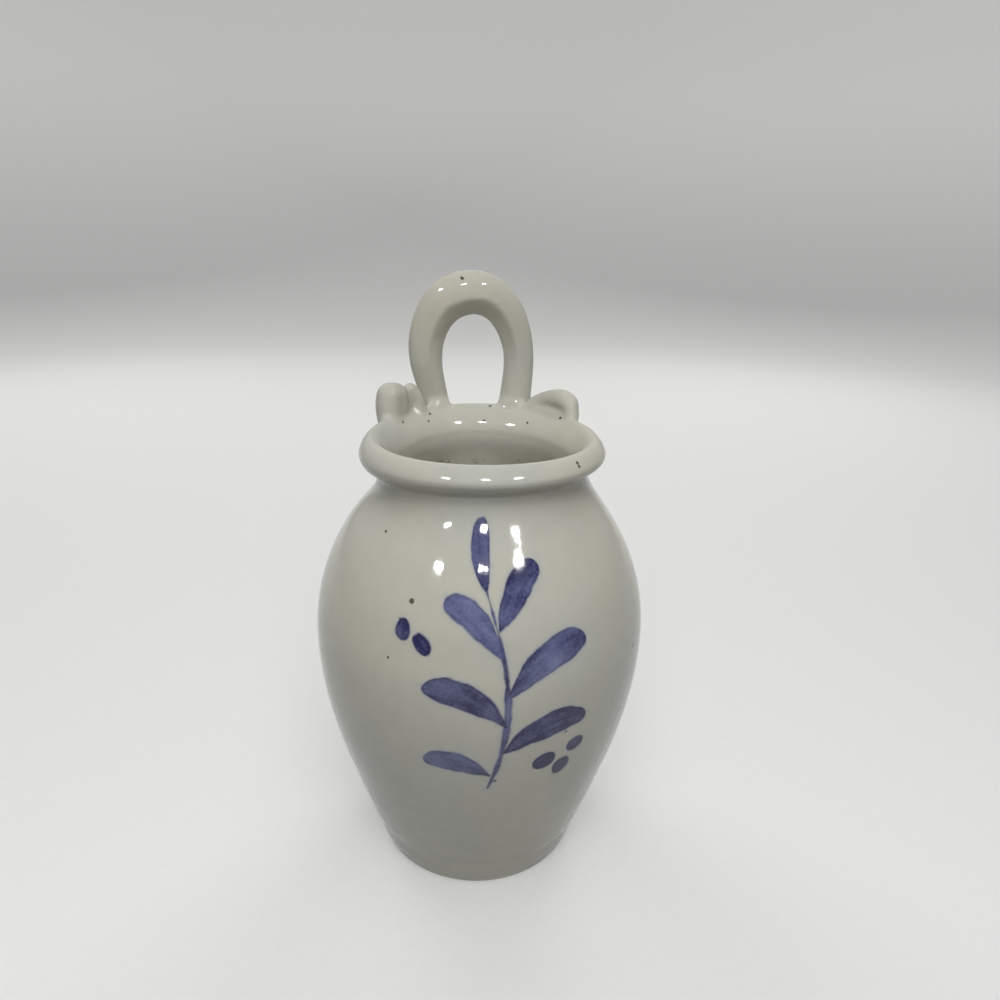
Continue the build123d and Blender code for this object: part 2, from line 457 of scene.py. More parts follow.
# Each curl's coils as (distance along the rim, height over it, distance behind it, radius) in millimetres,
# counted from a middle that lies this many degrees round the rim from the back
CURL_DEG = 54.0
LEFT_CURL = [
    [
        (-12.8, -0.6, -0.4, 2.3), (-12.2, 2.4, 0.0, 2.3), (-11.4, 4.8, 0.5, 2.3), (-10.4, 6.4, 0.9, 2.3),
        (-9.6, 7.0, 1.2, 2.2),
    ],
    [(-1.8, 6.2, 2.4, 4.4), (-1.3, 3.0, 2.4, 4.5), (-1.2, -0.8, 2.0, 4.4)],
    [(-4.2, 5.9, 2.2, 4.1), (-4.4, 3.8, 2.0, 4.1), (-4.4, 1.4, 1.8, 4.0)],
    [(-7.4, 0.6, 1.4, 2.6), (-8.0, 2.8, 1.5, 2.5), (-8.0, 4.8, 1.7, 2.4)],
    [(-9.0, -0.1, 0.8, 1.9), (-6.0, -0.4, 1.1, 2.7), (-3.0, -0.5, 1.3, 3.0), (0.5, -0.4, 1.4, 2.9)],
]
RIGHT_CURL = [
    [
        (-12.0, 0.0, 0.5, 1.8), (-7.0, -0.1, 0.6, 2.3), (-2.0, -0.2, 0.7, 2.6), (2.4, -0.2, 0.9, 2.6),
        (4.8, 0.2, 1.4, 2.5),
    ],
    [
        (4.2, 1.0, 1.6, 2.7), (3.7, 2.8, 1.7, 2.9), (2.4, 3.9, 2.0, 3.4), (-0.4, 4.4, 2.2, 3.7),
        (-4.0, 3.9, 2.2, 3.4), (-7.6, 2.9, 2.0, 2.9), (-11.2, 1.4, 1.4, 2.2),
    ],
]
LEFT_FOLD = 0.8 * MM
RIGHT_FOLD = 0.9 * MM

# Each wad as (x, height over the rim, radius, half length) in millimetres
LEFT_WAD = (-12.4, 0.4, 0.9, 2.8)
RIGHT_WAD = (14.6, 0.4, 1.0, 4.0)

# How far pieces swell into one another, how far they go on inside one another, and how deep they end there
CURL_BLEND = 0.9 * MM
WAD_BLEND = 2.6 * MM
RIM_BLEND = 1.4 * MM
OVERLAP = 1.4 * MM
TUCK = 0.02 * MM


def loop_path():
    """The loop's coil as (x, y, z, radius), with its back level with the back of the jar."""
    stations = [(x * MM, BACK_Y - r * MM, CREST_Z + h * MM, r * MM) for x, h, r in LOOP_STATIONS]
    path = smooth_path(stations)
    for _ in range(LOOP_EVEN_ROUNDS):
        path[1:-1] = (path[:-2] + 2 * path[1:-1] + path[2:]) / 4
    return path


def loop_distance(points, path):
    """Distance to the loop: a coil pressed flatter from front to back, with long faces from its pulling."""
    pressed = points.copy()
    pressed[:, 1] = BACK_Y + (points[:, 1] - BACK_Y) / LOOP_DEPTH
    gap, aside = nearest_on_coil(pressed, path)
    middle = pressed - aside - (0, 0, CREST_Z + LOOP_MIDDLE_H)
    away = np.sign(aside[:, 0] * middle[:, 0] + aside[:, 2] * middle[:, 2])
    outward = away * np.hypot(aside[:, 0], aside[:, 2])
    turn = np.degrees(np.arctan2(outward, -aside[:, 1]))
    strength = LOOP_FACE_AT_FEET + (1 - LOOP_FACE_AT_FEET) * ease(middle[:, 2], *LOOP_FACE_IN)
    for face_turn, depth in LOOP_FACES:
        across = (turn - face_turn) / LOOP_FACE_DEG
        gap = gap + depth * MM * strength * np.clip(1 - across ** 2, 0, 1)
    return gap


def curl_path(side, stations):
    """A curl's coil as (x, y, z, radius), laid along the ring of the rim on one side."""
    path = []
    for along, height, behind, radius in stations:
        angle = math.radians(CURL_DEG) + along * MM / CREST_R
        ring = CREST_R + behind * MM
        x, y = side * ring * math.sin(angle), ring * math.cos(angle)
        path.append((x, y, CREST_Z + height * MM, radius * MM))
    return smooth_path(path)


def wad_path(x, height, radius, half):
    """A short roll of clay laid along the crest of the rim, in front of a foot of the loop."""
    path = []
    for share in (-1, 0, 1):
        along = (x + share * half) * MM
        path.append((along, math.sqrt(CREST_R ** 2 - along ** 2), CREST_Z + height * MM, radius * MM))
    return np.array(path)


def coils_distance(points, paths, blend):
    """Distance to several coils that are pressed together."""
    shape = coil_distance(points, paths[0])
    for path in paths[1:]:
        shape = soft_min(shape, coil_distance(points, path), blend)
    return shape


def clay_mesh(number, pieces, glaze):
    """One of several hand-modelled pieces that swell softly into one another and into the rim."""
    name, node, path, _, _ = pieces[number]

    def distance(points):
        parts = [own(points) for _, _, _, own, _ in pieces]
        shape = parts[0]
        for part, (_, _, _, _, blend) in zip(parts[1:], pieces[1:]):
            shape = soft_min(shape, part, blend)
        shape = soft_min(shape, rim_distance(points) + TUCK, RIM_BLEND)
        mine = parts[number]
        past = mine - np.min(parts[:number] + parts[number + 1:], axis=0)
        shape = shape + TUCK * np.clip(past / OVERLAP, 0, 1)
        return np.maximum(np.maximum(shape, past - OVERLAP), mine - RIM_BLEND - OVERLAP)

    margin = path[:, 3].max() + RIM_BLEND + OVERLAP + CLAY_MARGIN
    low, high = path[:, :3].min(axis=0) - margin, path[:, :3].max(axis=0) + margin
    points, quads = surface_net(distance, low, high)
    return add_piece(name, by_hand(relax(points, quads)), quads, node, [glaze])


def handle_meshes(glaze):
    """The loop, its two curls and the wads at its feet."""
    loop = loop_path()
    left = [curl_path(-1, stations) for stations in LEFT_CURL]
    right = [curl_path(1, stations) for stations in RIGHT_CURL]
    left_wad, right_wad = wad_path(*LEFT_WAD), wad_path(*RIGHT_WAD)
    pieces = [
        ("glazed_loop", "hanger_loop", loop, lambda p: loop_distance(p, loop), 0.0),
        ("glazed_left_wad", "left_joint_wad", left_wad, lambda p: coil_distance(p, left_wad), WAD_BLEND),
        ("glazed_right_wad", "right_joint_wad", right_wad, lambda p: coil_distance(p, right_wad), WAD_BLEND),
        (
            "glazed_left_curl", "left_curl", np.vstack(left),
            lambda p: coils_distance(p, left, LEFT_FOLD), CURL_BLEND,
        ),
        (
            "glazed_right_curl", "right_curl", np.vstack(right),
            lambda p: coils_distance(p, right, RIGHT_FOLD), CURL_BLEND,
        ),
    ]
    for number in range(len(pieces)):
        clay_mesh(number, pieces, glaze)


# Materials

# The sockets of a colour mix node
MIX_AMOUNT = 0
MIX_A = 6
MIX_B = 7
MIX_RESULT = 2


class Shader:
    """A material's node tree, with short ways to add nodes and join them."""

    def __init__(self, name):
        self.material = bpy.data.materials.new(name)
        self.material.use_nodes = True
        self.tree = self.material.node_tree
        self.surface = self.tree.nodes["Principled BSDF"]

    def add(self, kind, inputs=(), **settings):
        node = self.tree.nodes.new(kind)
        for key, value in settings.items():
            setattr(node, key, value)
        for key, value in dict(inputs).items():
            self.put(node.inputs[key], value)
        return node

    def put(self, socket, value):
        if isinstance(value, bpy.types.NodeSocket):
            self.tree.links.new(value, socket)
        elif value is not None:
            socket.default_value = value

    def math(self, operation, a, b=None, c=None):
        node = self.add("ShaderNodeMath", {0: a, 1: b, 2: c}, operation=operation)
        return node.outputs[0]

    def gap(self, a, b):
        node = self.add("ShaderNodeVectorMath", {0: a, 1: b}, operation="DISTANCE")
        return node.outputs["Value"]

    def mix(self, amount, a, b):
        node = self.add("ShaderNodeMix", data_type="RGBA")
        self.put(node.inputs[MIX_AMOUNT], amount)
        self.put(node.inputs[MIX_A], a)
        self.put(node.inputs[MIX_B], b)
        return node.outputs[MIX_RESULT]

    def fade(self, value, start, end, low=0.0, high=1.0):
        node = self.add(
            "ShaderNodeMapRange",
            {"Value": value, "From Min": start, "From Max": end, "To Min": low, "To Max": high},
            interpolation_type="SMOOTHSTEP",
        )
        return node.outputs["Result"]

    def place(self):
        return self.add("ShaderNodeTexCoord").outputs["Object"]

    def noise(self, place, scale, detail=3.0, roughness=0.55):
        node = self.add(
            "ShaderNodeTexNoise", {"Vector": place, "Scale": scale, "Detail": detail, "Roughness": roughness}
        )
        return node.outputs["Fac"]

    def swing(self, place, scale, detail, size):
        about_zero = self.math("SUBTRACT", self.noise(place, scale, detail), 0.5)
        return self.math("MULTIPLY", about_zero, size)

    def bump(self, height, strength, distance):
        node = self.add("ShaderNodeBump", {"Height": height, "Strength": strength, "Distance": distance})
        return node.outputs["Normal"]


GLAZE_COOL = (0.51, 0.515, 0.46, 1)
GLAZE_WARM = (0.57, 0.55, 0.455, 1)
# The two inner colours are painted light: much lighter than the outer glaze, standing in for the light that
# reaches the throat
PAINTED_LIGHT_INNER = (0.73, 0.725, 0.645, 1)
PAINTED_LIGHT_INNER_WARM = (0.75, 0.73, 0.635, 1)
GLAZE_MOTTLE = (0.42, 0.415, 0.345, 1)
WATER_STAIN = (0.20, 0.18, 0.12, 1)
IRON = (0.035, 0.028, 0.02, 1)
IRON_FAINT = (0.16, 0.13, 0.085, 1)
COBALT_DEEP = (0.012, 0.013, 0.085, 1)
COBALT_THIN = (0.115, 0.135, 0.34, 1)
COBALT_HALO = (0.36, 0.39, 0.47, 1)
CLAY_BUFF = (0.46, 0.345, 0.225, 1)
CLAY_DARK = (0.30, 0.205, 0.125, 1)
CLAY_GRIT = (0.62, 0.52, 0.39, 1)

# The glaze's drifts and mottle: noise scales per metre, the spans of noise that show, and how much they show
DRIFT_SCALE = 19.0
DRIFT_SPAN = (0.3, 0.7)
MOTTLE_SCALE = 210.0
MOTTLE_SPAN = (0.3, 0.75)
MOTTLE_COVER = 0.16

# Scattered specks as (cells per metre, share of the cells with one, smallest and largest radius in cells)
LARGE_SPECKS = (62.0, 0.10, 0.014, 0.034)
FINE_SPECKS = (240.0, 0.05, 0.03, 0.06)
SPECK_COVER = 0.9
FINE_SPECK_COVER = 0.4

# How ragged scattered specks are, and how soft their edges, in smallest radii
RAGGED_FINENESS = 9
RAGGED_SIZE = 1.2
SOFT_INSIDE = 0.6
SOFT_OUTSIDE = 0.5

# The specks that stand out most, as (x, y, z, radius) in millimetres, the noise of their edges as
# (scale, detail, size), and the span over which they fade
SPECKS = [
    (-4.3, 30.0, 190.6, 0.55), (6.0, 32.4, 147.3, 0.5), (-15.2, 27.5, 145.9, 0.45),
    (-15.7, 25.5, 143.9, 0.4), (-24.5, 19.5, 145.2, 0.45), (3.6, 28.8, 142.9, 0.6),
    (17.9, 23.6, 143.4, 0.5), (27.9, 16.9, 146.7, 0.5), (23.7, -28.0, 145.1, 0.6),
    (24.1, -28.6, 144.3, 0.6), (-23.5, -41.3, 110.6, 0.8), (-26.8, -41.8, 105.5, 0.45),
    (19.8, -49.7, 71.1, 0.45), (-30.3, -23.9, 124.3, 0.4), (-30.4, -43.1, 94.5, 0.4),
    (44.0, -30.8, 86.9, 0.5),
]
SPECK_EDGE_NOISE = (900.0, 3.0, 0.9 * MM)
SPECK_EDGE = (-0.2 * MM, 0.15 * MM)

# The gloss of the glaze, its ripple, and how deep below the neck the inside is at its lightest, where it is
# painted lighter as painted light that stands in for light reaching the throat
GLOSS_SCALE = 55.0
GLOSS_SPAN = (0.3, 0.7)
GLOSS = (0.04, 0.09)
GLAZE_IOR = 1.52
RIPPLE_SCALE = 130.0
RIPPLE_STRENGTH = 0.16
RIPPLE_DEPTH = 0.5 * MM
PAINTED_LIGHT_DEPTH = 8.0 * MM

# Crumbs of dirt inside: patches and grains per metre, the span of noise that shows, and their band of heights
CRUMB_PATCH_SCALE = 95.0
CRUMB_SCALE = 620.0
CRUMB_SPAN = (0.27, 0.36)
CRUMBS_START = (112.0 * MM, 121.0 * MM)
CRUMBS_END = (126.0 * MM, 131.5 * MM)
CRUMB_COVER = 0.85


def speck_mask(shader, place, scale, share, small, large):
    """Round specks of differing size: one in some of the cells of a Voronoi pattern."""
    cells = shader.add("ShaderNodeTexVoronoi", {"Vector": place, "Scale": scale})
    chance = shader.add("ShaderNodeSeparateColor", {"Color": cells.outputs["Color"]})
    size = shader.fade(chance.outputs["Green"], 0.0, 1.0, small, large)
    edge_noise = shader.noise(place, scale * RAGGED_FINENESS)
    ragged = shader.math("MULTIPLY_ADD", edge_noise, small * RAGGED_SIZE, size)
    inner = shader.math("SUBTRACT", cells.outputs["Distance"], ragged)
    spot = shader.fade(inner, -small * SOFT_INSIDE, small * SOFT_OUTSIDE, 1.0, 0.0)
    chosen = shader.math("GREATER_THAN", chance.outputs["Red"], 1 - share)
    return shader.math("MULTIPLY", spot, chosen)


def placed_specks(shader, place):
    """The listed specks, with ragged edges."""
    ragged = shader.swing(place, *SPECK_EDGE_NOISE)
    best = None
    for x, y, z, radius in SPECKS:
        gap = shader.gap(place, (x * MM, y * MM, z * MM))
        inner = shader.math("ADD", shader.math("SUBTRACT", gap, radius * MM), ragged)
        best = inner if best is None else shader.math("MINIMUM", best, inner)
    return shader.fade(best, *SPECK_EDGE, 1.0, 0.0)


def glaze_colour(shader, place, cool, warm):
    """Off-white glaze: broad drifts of tone, a fine mottle, and iron specks that bleed a little."""
    drift = shader.fade(shader.noise(place, DRIFT_SCALE, 2.0), *DRIFT_SPAN)
    colour = shader.mix(drift, cool, warm)
    mottle = shader.fade(shader.noise(place, MOTTLE_SCALE, 4.0), *MOTTLE_SPAN, 0.0, MOTTLE_COVER)
    colour = shader.mix(mottle, colour, GLAZE_MOTTLE)
    large = speck_mask(shader, place, *LARGE_SPECKS)
    fine = speck_mask(shader, place, *FINE_SPECKS)
    colour = shader.mix(shader.math("MULTIPLY", fine, FINE_SPECK_COVER), colour, IRON_FAINT)
    specks = shader.math("MAXIMUM", large, placed_specks(shader, place))
    return shader.mix(shader.math("MULTIPLY", specks, SPECK_COVER), colour, IRON)


def glaze_finish(shader, place, colour):
    """The gloss of a thick glaze, with the faint ripple of an orange's skin."""
    shader.put(shader.surface.inputs["Base Color"], colour)
    gloss = shader.fade(shader.noise(place, GLOSS_SCALE, 2.0), *GLOSS_SPAN, *GLOSS)
    shader.put(shader.surface.inputs["Roughness"], gloss)
    shader.surface.inputs["IOR"].default_value = GLAZE_IOR
    ripple = shader.noise(place, RIPPLE_SCALE, 2.0)
    shader.put(shader.surface.inputs["Normal"], shader.bump(ripple, RIPPLE_STRENGTH, RIPPLE_DEPTH))
    return shader.material


def plain_glaze():
    """The glaze where nothing is painted."""
    shader = Shader("off_white_glaze")
    place = shader.place()
    return glaze_finish(shader, place, glaze_colour(shader, place, GLAZE_COOL, GLAZE_WARM))


def inner_glaze():
    """The glaze inside the jar, painted lighter deeper below the neck as painted light for the throat, with
    crumbs of dirt that water has left high on the wall.
    """
    shader = Shader("inner_glaze")
    place = shader.place()
    height = shader.add("ShaderNodeSeparateXYZ", {"Vector": place}).outputs["Z"]
    # Painted light: below the neck the inside shifts to the lighter inner colours, standing in for light in
    # the throat
    deep = shader.fade(height, NECK_Z - PAINTED_LIGHT_DEPTH, NECK_Z, 1.0, 0.0)
    cool = shader.mix(deep, GLAZE_COOL, PAINTED_LIGHT_INNER)
    warm = shader.mix(deep, GLAZE_WARM, PAINTED_LIGHT_INNER_WARM)
    colour = glaze_colour(shader, place, cool, warm)
    grains = shader.noise(place, CRUMB_SCALE, 3.0)
    patch = shader.math("MULTIPLY", shader.noise(place, CRUMB_PATCH_SCALE, 2.0), grains)
    below = shader.fade(height, *CRUMBS_END, 1.0, 0.0)
    above = shader.fade(height, *CRUMBS_START)
    level = shader.math("MULTIPLY", below, above)
    crumbs = shader.math("MULTIPLY", shader.fade(patch, *CRUMB_SPAN), level)
    colour = shader.mix(shader.math("MULTIPLY", crumbs, CRUMB_COVER), colour, WATER_STAIN)
    return glaze_finish(shader, place, colour)


# The sprig, in millimetres on the jar's unrolled front: u to the right and v up
SPRIG_RADIUS = 52.0 * MM
STEM = {"start": (-3.0, 53.0), "angle": 91.0, "length": 62.0, "width": 0.85, "bend": -5.5, "pigment": 0.6}
# Each leaf as (share of the stem, angle, length, half width, bend, pigment)
LEAVES = [
    (0.08, 163.0, 21.0, 3.6, -2.4, 0.5), (0.22, 20.0, 27.0, 4.4, 3.4, 0.95),
    (0.38, 152.0, 26.0, 4.4, -3.4, 0.8), (0.53, 31.0, 28.0, 4.7, 3.0, 0.55),
    (0.71, 138.0, 23.0, 3.9, -2.4, 0.45), (0.82, 50.0, 22.0, 3.9, 2.2, 0.75),
    (0.99, 97.0, 18.0, 3.5, 1.0, 0.6),
]
# Each berry as (u, v, angle, length, half width, pigment)
BERRIES = [
    (10.5, 60.0, 30.0, 7.6, 2.9, 1.1), (18.0, 55.0, 60.0, 6.6, 2.6, 1.0), (20.5, 64.5, 10.0, 6.4, 2.5, 0.95),
    (-20.0, 97.5, 130.0, 7.0, 2.7, 1.1), (-27.5, 100.0, 100.0, 6.2, 2.4, 0.95),
]
# How a stroke swells from its root and thins to its tip, as two powers
LEAF_SHAPE = (0.85, 0.42)
BERRY_SHAPE = (0.5, 0.5)
STEM_SHAPE = (0.2, 0.45)
STROKE_END = 0.0005

# Noise in the paint as (scale per metre, detail, size): a stroke's edge, its pools and its grain
EDGE_BROAD = (120.0, 1.0, 2.0 * MM)
EDGE_CRISP = (520.0, 2.0, 0.5 * MM)
POOLS = (95.0, 2.0, 1.6)
GRAIN = (1100.0, 3.0, 0.7)

# How far out of a stroke its paint, its halo and its darker edge reach, and how much each shows
PAINT_REACH = (-0.45 * MM, 0.4 * MM)
HALO_REACH = (0.0, 1.8 * MM)
HALO_COVER = 0.3
DARK_EDGE_REACH = (-1.1 * MM, -0.2 * MM)
DARK_EDGE = 0.16
PALEST_SHARE = 0.4
DARK_ENDS = 0.35
PAINT_COVER = 0.84

# The brush's streaks: how fine they are along and across a stroke, how strong, and how much paint they lose
STREAK_ALONG = 90.0
STREAK_ACROSS = 480.0
STREAK_STRENGTH = 0.9
STREAK_LOSS = 0.1


def stem_point(share):
    """A place on the stem, at a share of its length."""
    angle = math.radians(STEM["angle"])
    along, across = share * STEM["length"], STEM["bend"] * 4 * share * (1 - share)
    u = STEM["start"][0] + along * math.cos(angle) - across * math.sin(angle)
    v = STEM["start"][1] + along * math.sin(angle) + across * math.cos(angle)
    return u, v


def all_strokes():
    """Every brush stroke as (u, v, angle, length, half width, bend, pigment, shape)."""
    stem = (STEM["angle"], STEM["length"], STEM["width"], STEM["bend"], STEM["pigment"])
    strokes = [(*STEM["start"], *stem, STEM_SHAPE)]
    for share, angle, length, width, bend, pigment in LEAVES:
        strokes.append((*stem_point(share), angle, length, width, bend, pigment, LEAF_SHAPE))
    for u, v, angle, length, width, pigment in BERRIES:
        strokes.append((u, v, angle, length, width, 0.0, pigment, BERRY_SHAPE))
    return strokes


def stroke_nodes(shader, front, stroke):
    """One brush stroke: how far outside it a place lies in metres, its share along it, and its streaks."""
    u, v, angle, length, width, bend, _, (root, tip) = stroke
    length, width, bend = length * MM, width * MM, bend * MM
    local = shader.add(
        "ShaderNodeMapping",
        {"Vector": front, "Location": (u * MM, v * MM, 0), "Rotation": (0, 0, math.radians(angle))},
        vector_type="TEXTURE",
    )
    split = shader.add("ShaderNodeSeparateXYZ", {"Vector": local.outputs["Vector"]})
    along = shader.math("DIVIDE", split.outputs["X"], length)
    inside = shader.math("MINIMUM", shader.math("MAXIMUM", along, STROKE_END), 1 - STROKE_END)
    left = shader.math("SUBTRACT", 1.0, inside)
    sag = shader.math("MULTIPLY", shader.math("MULTIPLY", inside, left), 4 * bend)
    across = shader.math("SUBTRACT", split.outputs["Y"], sag)
    peak = root / (root + tip)
    scale = width / (peak ** root * (1 - peak) ** tip)
    swell = shader.math("MULTIPLY", shader.math("POWER", inside, root), shader.math("POWER", left, tip))
    outside = shader.math("SUBTRACT", shader.math("ABSOLUTE", across), shader.math("MULTIPLY", swell, scale))
    beyond = shader.math("SUBTRACT", shader.math("ABSOLUTE", shader.math("SUBTRACT", along, 0.5)), 0.5)
    outside = shader.math("MAXIMUM", outside, shader.math("MULTIPLY", beyond, length))
    streak_place = shader.add(
        "ShaderNodeCombineXYZ",
        {
            "X": shader.math("MULTIPLY_ADD", split.outputs["X"], STREAK_ALONG, u),
            "Y": shader.math("MULTIPLY_ADD", across, STREAK_ACROSS, v),
        },
    )
    streak = shader.noise(streak_place.outputs["Vector"], 1.0, 2.0)
    return outside, inside, streak


def painted_glaze():
    """The glaze on the outside of the jar, with a cobalt sprig brushed on its front."""
    shader = Shader("painted_glaze")
    place = shader.place()
    colour = glaze_colour(shader, place, GLAZE_COOL, GLAZE_WARM)
    split = shader.add("ShaderNodeSeparateXYZ", {"Vector": place})
    turn = shader.math("ARCTAN2", split.outputs["X"], shader.math("MULTIPLY", split.outputs["Y"], -1.0))
    front = shader.add(
        "ShaderNodeCombineXYZ", {"X": shader.math("MULTIPLY", turn, SPRIG_RADIUS), "Y": split.outputs["Z"]}
    ).outputs["Vector"]
    ragged = shader.math("ADD", shader.swing(place, *EDGE_BROAD), shader.swing(place, *EDGE_CRISP))
    wash = shader.math("ADD", shader.swing(place, *POOLS), shader.swing(place, *GRAIN))
    paint = halo = depth = None
    for stroke in all_strokes():
        outside, along, streak = stroke_nodes(shader, front, stroke)
        *_, pigment, _ = stroke
        outside = shader.math("ADD", outside, ragged)
        mask = shader.fade(outside, *PAINT_REACH, 1.0, 0.0)
        glow = shader.fade(outside, *HALO_REACH, 1.0, 0.0)
        edge = shader.fade(outside, *DARK_EDGE_REACH, 0.0, DARK_EDGE)
        from_palest = shader.math("ABSOLUTE", shader.math("SUBTRACT", along, PALEST_SHARE))
        ends = shader.math("MULTIPLY", from_palest, DARK_ENDS)
        streaks = shader.math("SUBTRACT", streak, 0.5)
        load = shader.math("MULTIPLY_ADD", streaks, STREAK_STRENGTH, pigment - STREAK_LOSS)
        load = shader.math("ADD", shader.math("ADD", load, edge), shader.math("ADD", ends, wash))
        load = shader.math("MINIMUM", shader.math("MAXIMUM", load, 0.0), 1.0)
        if paint is None:
            paint, halo, depth = mask, glow, load
        else:
            fresh = shader.math("MULTIPLY", mask, load)
            under = shader.math("MULTIPLY", shader.math("SUBTRACT", 1.0, mask), depth)
            depth = shader.math("ADD", fresh, under)
            paint = shader.math("MAXIMUM", paint, mask)
            halo = shader.math("MAXIMUM", halo, glow)
    blue = shader.mix(depth, COBALT_THIN, COBALT_DEEP)
    colour = shader.mix(shader.math("MULTIPLY", halo, HALO_COVER), colour, COBALT_HALO)
    thickness = shader.math("MULTIPLY_ADD", depth, 1 - PAINT_COVER, PAINT_COVER)
    colour = shader.mix(shader.math("MULTIPLY", paint, thickness), colour, blue)
    return glaze_finish(shader, place, colour)


# Bare clay: its grain and patches, the rings of the trimming tool, and how much each shows
CLAY_GRAIN_SCALE = 900.0
CLAY_PATCH_SCALE = 45.0
CLAY_PATCH_SPAN = (0.3, 0.7)
CLAY_GRIT_SPAN = (0.45, 0.75)
CLAY_GRIT_COVER = 0.5
CLAY_ROUGH_SPAN = (0.2, 0.8)
CLAY_ROUGHNESS = (0.72, 0.92)
TRIM_RING_SCALE = 190.0
TRIM_RING_RELIEF = 0.4
CLAY_GRAIN_RELIEF = 0.6
CLAY_RELIEF_STRENGTH = 0.5
CLAY_RELIEF = 0.25 * MM


def bare_clay():
    """Unglazed stoneware under the foot: buff, grainy and matt, with the rings of the trimming tool."""
    shader = Shader("bare_stoneware")
    place = shader.place()
    grain = shader.noise(place, CLAY_GRAIN_SCALE, 4.0, 0.7)
    patch = shader.noise(place, CLAY_PATCH_SCALE, 3.0)
    colour = shader.mix(shader.fade(patch, *CLAY_PATCH_SPAN), CLAY_BUFF, CLAY_DARK)
    colour = shader.mix(shader.fade(grain, *CLAY_GRIT_SPAN, 0.0, CLAY_GRIT_COVER), colour, CLAY_GRIT)
    shader.put(shader.surface.inputs["Base Color"], colour)
    roughness = shader.fade(grain, *CLAY_ROUGH_SPAN, *CLAY_ROUGHNESS)
    shader.put(shader.surface.inputs["Roughness"], roughness)
    rings = shader.add(
        "ShaderNodeTexWave",
        {"Vector": place, "Scale": TRIM_RING_SCALE, "Distortion": 2.5, "Detail": 2.0},
        wave_type="RINGS",
        rings_direction="Z",
    )
    ring_relief = shader.math("MULTIPLY", rings.outputs["Fac"], TRIM_RING_RELIEF)
    relief = shader.math("MULTIPLY_ADD", grain, CLAY_GRAIN_RELIEF, ring_relief)
    shader.put(shader.surface.inputs["Normal"], shader.bump(relief, CLAY_RELIEF_STRENGTH, CLAY_RELIEF))
    return shader.material


# The sweep as it looks and as it throws light back, its glow at the floor and up the backdrop, and its tooth
PALE_SWEEP = ((0.56, 0.56, 0.55, 1), (0.60, 0.60, 0.59, 1))
DIM_SWEEP = ((0.09, 0.09, 0.088, 1), (0.11, 0.11, 0.108, 1))
SWEEP_GLOW_COLOUR = (1.0, 1.0, 0.98, 1)
SWEEP_GLOW = 0.2
BACKDROP_GLOW = 0.36
BACKDROP_TOP = 0.5
TOOTH_SCALE = 300.0
TOOTH_SPAN = (0.2, 0.8)
TOOTH_ROUGHNESS = (0.75, 0.9)


def paper_white():
    """The pale sweep that the vase stands on, which throws less light back than it shows."""
    shader = Shader("pale_sweep")
    place = shader.place()
    tooth = shader.noise(place, TOOTH_SCALE, 3.0)
    seen = shader.add("ShaderNodeLightPath")
    shown = shader.math("MAXIMUM", seen.outputs["Is Camera Ray"], seen.outputs["Is Glossy Ray"])
    pale = shader.mix(tooth, *PALE_SWEEP)
    dim = shader.mix(tooth, *DIM_SWEEP)
    shader.put(shader.surface.inputs["Base Color"], shader.mix(shown, dim, pale))
    shader.surface.inputs["Emission Color"].default_value = SWEEP_GLOW_COLOUR
    height = shader.add("ShaderNodeSeparateXYZ", {"Vector": place}).outputs["Z"]
    glow = shader.fade(height, 0.0, BACKDROP_TOP, SWEEP_GLOW, BACKDROP_GLOW)
    shader.put(shader.surface.inputs["Emission Strength"], shader.math("MULTIPLY", shown, glow))
    roughness = shader.fade(tooth, *TOOTH_SPAN, *TOOTH_ROUGHNESS)
    shader.put(shader.surface.inputs["Roughness"], roughness)
    return shader.material


# Stage, light and camera

SWEEP_FLAT_R = 1.1
SWEEP_CORNER_R = 0.6
SWEEP_TOP = 2.2
SWEEP_MIDDLE_R = 0.001
SWEEP_SEGMENTS = 96
SWEEP_CORNER_STEPS = 16


def sweep_stage():
    """A pale floor that rises all round into a backdrop."""
    flat = [(SWEEP_MIDDLE_R, 0.0), (0.5 * SWEEP_FLAT_R, 0.0)]
    corner = arc((SWEEP_FLAT_R, SWEEP_CORNER_R), SWEEP_CORNER_R, -90, 0, SWEEP_CORNER_STEPS)
    backdrop = [(SWEEP_FLAT_R + SWEEP_CORNER_R, SWEEP_TOP)]
    outline = np.vstack([flat, corner, backdrop])
    points, quads = lathe(outline, SWEEP_SEGMENTS)
    quads = quads.reshape(SWEEP_SEGMENTS, len(outline), 4)[:, :-1].reshape(-1, 4)
    mesh = bpy.data.meshes.new("sweep")
    mesh.from_pydata([tuple(p) for p in points], [], [tuple(int(i) for i in q) for q in quads])
    mesh.materials.append(paper_white())
    mesh.polygons.foreach_set("use_smooth", np.ones(len(mesh.polygons), dtype=bool))
    sweep = bpy.data.objects.new("sweep", mesh)
    bpy.context.scene.collection.objects.link(sweep)


# Each soft lamp as (name, place, size, power in watts)
SOFT_LAMPS = [
    ("overhead", (0.0, -0.46, 1.3), (0.9, 0.9), 5.8),
    ("key", (-0.05, -0.47, 0.50), (0.4, 0.4), 2.05),
    ("left_fill", (-0.55, 0.85, 0.7), (0.6, 0.6), 4.4),
    ("right_fill", (0.55, 0.85, 0.7), (0.6, 0.6), 4.4),
]

# The small lamps that sparkle on the glaze, as (azimuth from the front, elevation), both in degrees
SPARKLES = [(-44.0, 37.0), (-4.0, 40.0), (30.0, 39.0)]
SPARKLE_AWAY = 1.5
SPARKLE_SIZE = (0.15, 0.05)
SPARKLE_POWER = 6.0
MIDDLE = (0.0, 0.0, 0.12)
SKY_COLOUR = (0.93, 0.95, 1.0, 1)
SKY_STRENGTH = 0.30


